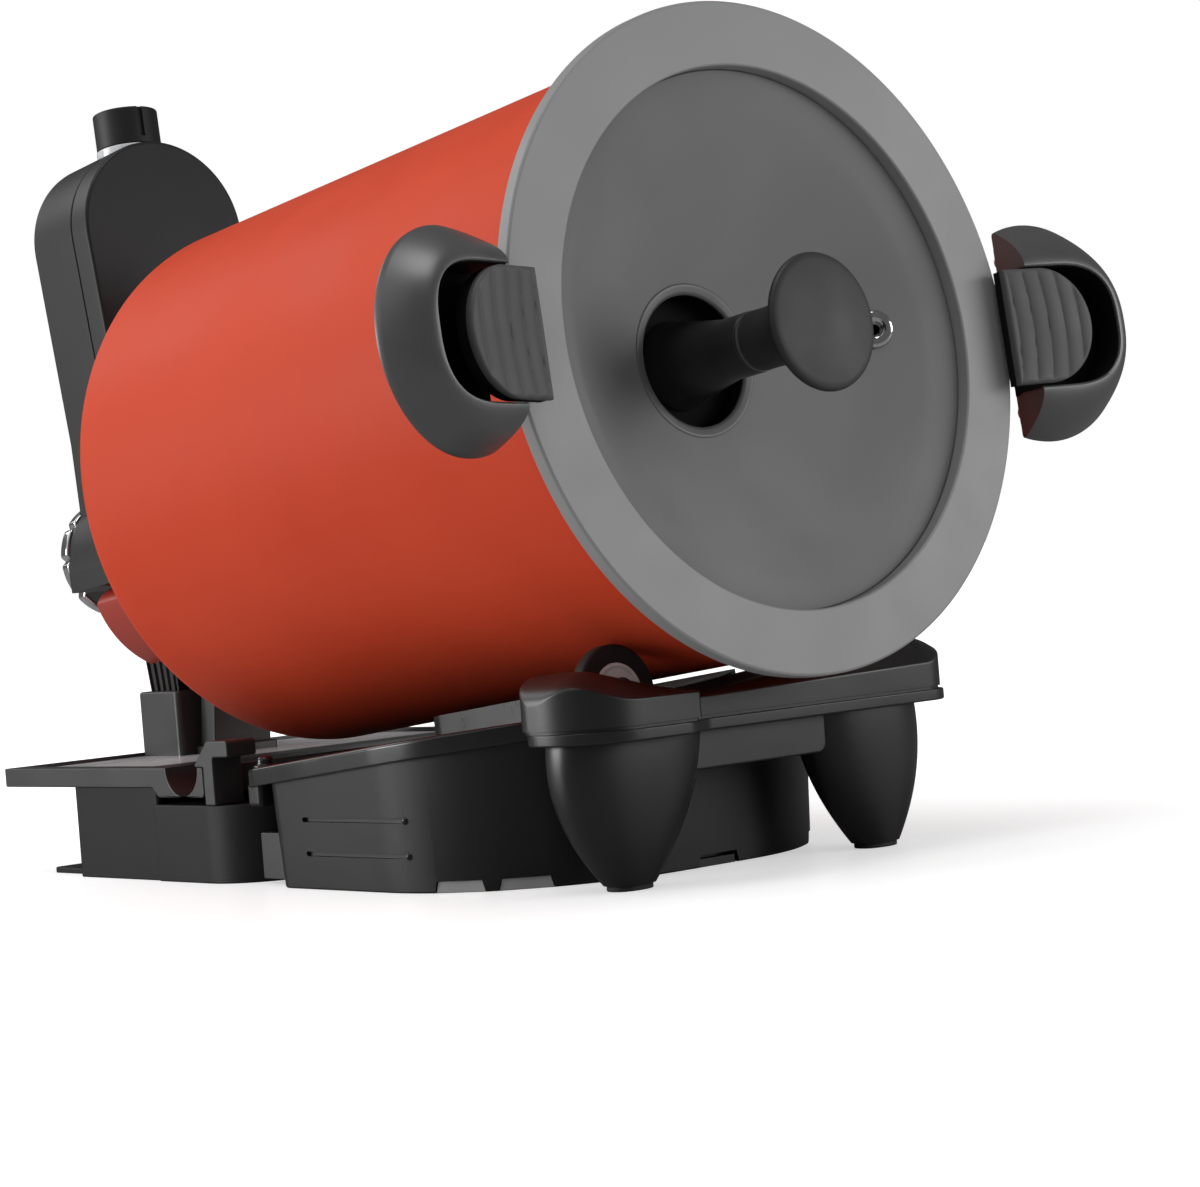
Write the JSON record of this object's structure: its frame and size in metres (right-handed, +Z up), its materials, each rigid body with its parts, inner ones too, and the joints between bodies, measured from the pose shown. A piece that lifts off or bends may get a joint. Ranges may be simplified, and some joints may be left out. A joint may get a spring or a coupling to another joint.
{
  "type": "automatic stir fry cooker",
  "caption": "Countertop cooker with a tilted drum that a motor tower turns over a heater base, front rollers, ear handles and a lift-off lid with a knob.",
  "frame": {"origin": "on the ground under the heater base, in the middle of its width and 69 mm behind its front", "axes": "+X to the right seen from the lid, +Y from the lid to the motor tower, +Z up"},
  "size_m": [0.3616, 0.4846, 0.337],
  "materials": {
    "drum_paint": "satin red paint",
    "red_plastic": "satin dark red",
    "rim_grey": "satin grey",
    "lid_grey": "satin grey",
    "grip_black": "fine matte",
    "pad_black": "ribbed matte",
    "base_black": "satin",
    "frame_black": "matte black",
    "bezel_grey": "satin light grey",
    "panel_pale": "glossy pale grey",
    "steel": "satin",
    "chrome": "polished",
    "cast_aluminium": "cast",
    "motor_paint": "satin dark grey",
    "black_rubber": "matte",
    "grey_rubber": "matte",
    "board_green": "board lacquer"
  },
  "bodies": {
    "base": {"heater_base": "base_black", "base_plate": "base_black", "heater_cover": "base_black", "heating_plate": "cast_aluminium", "heating_element": "steel", "thermostat": "steel", "case_screws": "steel", "front_beam": "base_black", "roller_cover_left": "base_black", "roller_cover_right": "base_black", "foot_left": "base_black", "foot_right": "base_black", "foot_pads": "grey_rubber", "roller_yokes": "frame_black", "roller_axles": "steel", "rear_box": "base_black", "rear_deck": "base_black", "deck_panel": "panel_pale", "deck_hooks": "base_black", "tie_bars": "base_black", "control_board": "board_green", "power_inlet": "base_black", "tower_post": "base_black", "tower_brace": "base_black", "tower_frame": "frame_black", "tower_front_cover": "base_black", "tower_rear_cover": "base_black", "tower_lower_cover": "red_plastic", "hub_housing": "base_black", "hub_bearings": "steel", "drive_motor": "motor_paint", "motor_ring": "chrome", "timer_control": "base_black", "knob_bezel": "bezel_grey"},
    "drive": {"drive_shaft": "steel", "drive_coupling": "cast_aluminium"},
    "pot": {"drum": "drum_paint", "stir_fins": "steel", "drum_socket": "cast_aluminium", "rim_ring": "rim_grey", "handle_left": "grip_black", "handle_right": "grip_black", "thumb_pad_left": "pad_black", "thumb_pad_right": "pad_black", "handle_bracket_left": "steel", "handle_bracket_right": "steel", "handle_screws": "steel"},
    "lid": {"lid_disc": "lid_grey", "lid_gasket": "black_rubber", "knob_cup": "grip_black", "knob_stem": "grip_black", "knob_head": "grip_black", "vent_eyelet": "chrome"},
    "roller_left": {"roller_tyre_left": "black_rubber", "roller_hub_left": "steel"},
    "roller_right": {"roller_tyre_right": "black_rubber", "roller_hub_right": "steel"},
    "selector": {"control_knob": "grip_black", "knob_spindle": "steel"}
  },
  "joints": [
    {"name": "drum_spin", "type": "hinge", "parent": "base", "child": "drive", "pos_m": [0, -0.121, 0.1887], "axis": [0, -0.9949, 0.1011], "continuous": true},
    {"name": "pot_pull", "type": "slide", "parent": "drive", "child": "pot", "axis": [0, -0.9949, 0.1011], "range_m": [0, 0.06]},
    {"name": "lid_lift", "type": "slide", "parent": "pot", "child": "lid", "axis": [0, -0.9949, 0.1011], "range_m": [0, 0.09]},
    {"name": "roller_left_spin", "type": "hinge", "parent": "base", "child": "roller_left", "pos_m": [-0.055, -0.08102, 0.06768], "axis": [0, -0.9949, 0.1011], "continuous": true},
    {"name": "roller_right_spin", "type": "hinge", "parent": "base", "child": "roller_right", "pos_m": [0.055, -0.08102, 0.06768], "axis": [0, -0.9949, 0.1011], "continuous": true},
    {"name": "selector_turn", "type": "hinge", "parent": "base", "child": "selector", "pos_m": [0, 0.28768, 0.32811], "axis": [0, 0.1011, 0.9949], "range_deg": [-135, 135]}
  ],
  "couplings": [
    {"joint": "roller_left_spin", "follows": "drum_spin", "ratio": -6.3793},
    {"joint": "roller_right_spin", "follows": "drum_spin", "ratio": -6.3793}
  ]
}
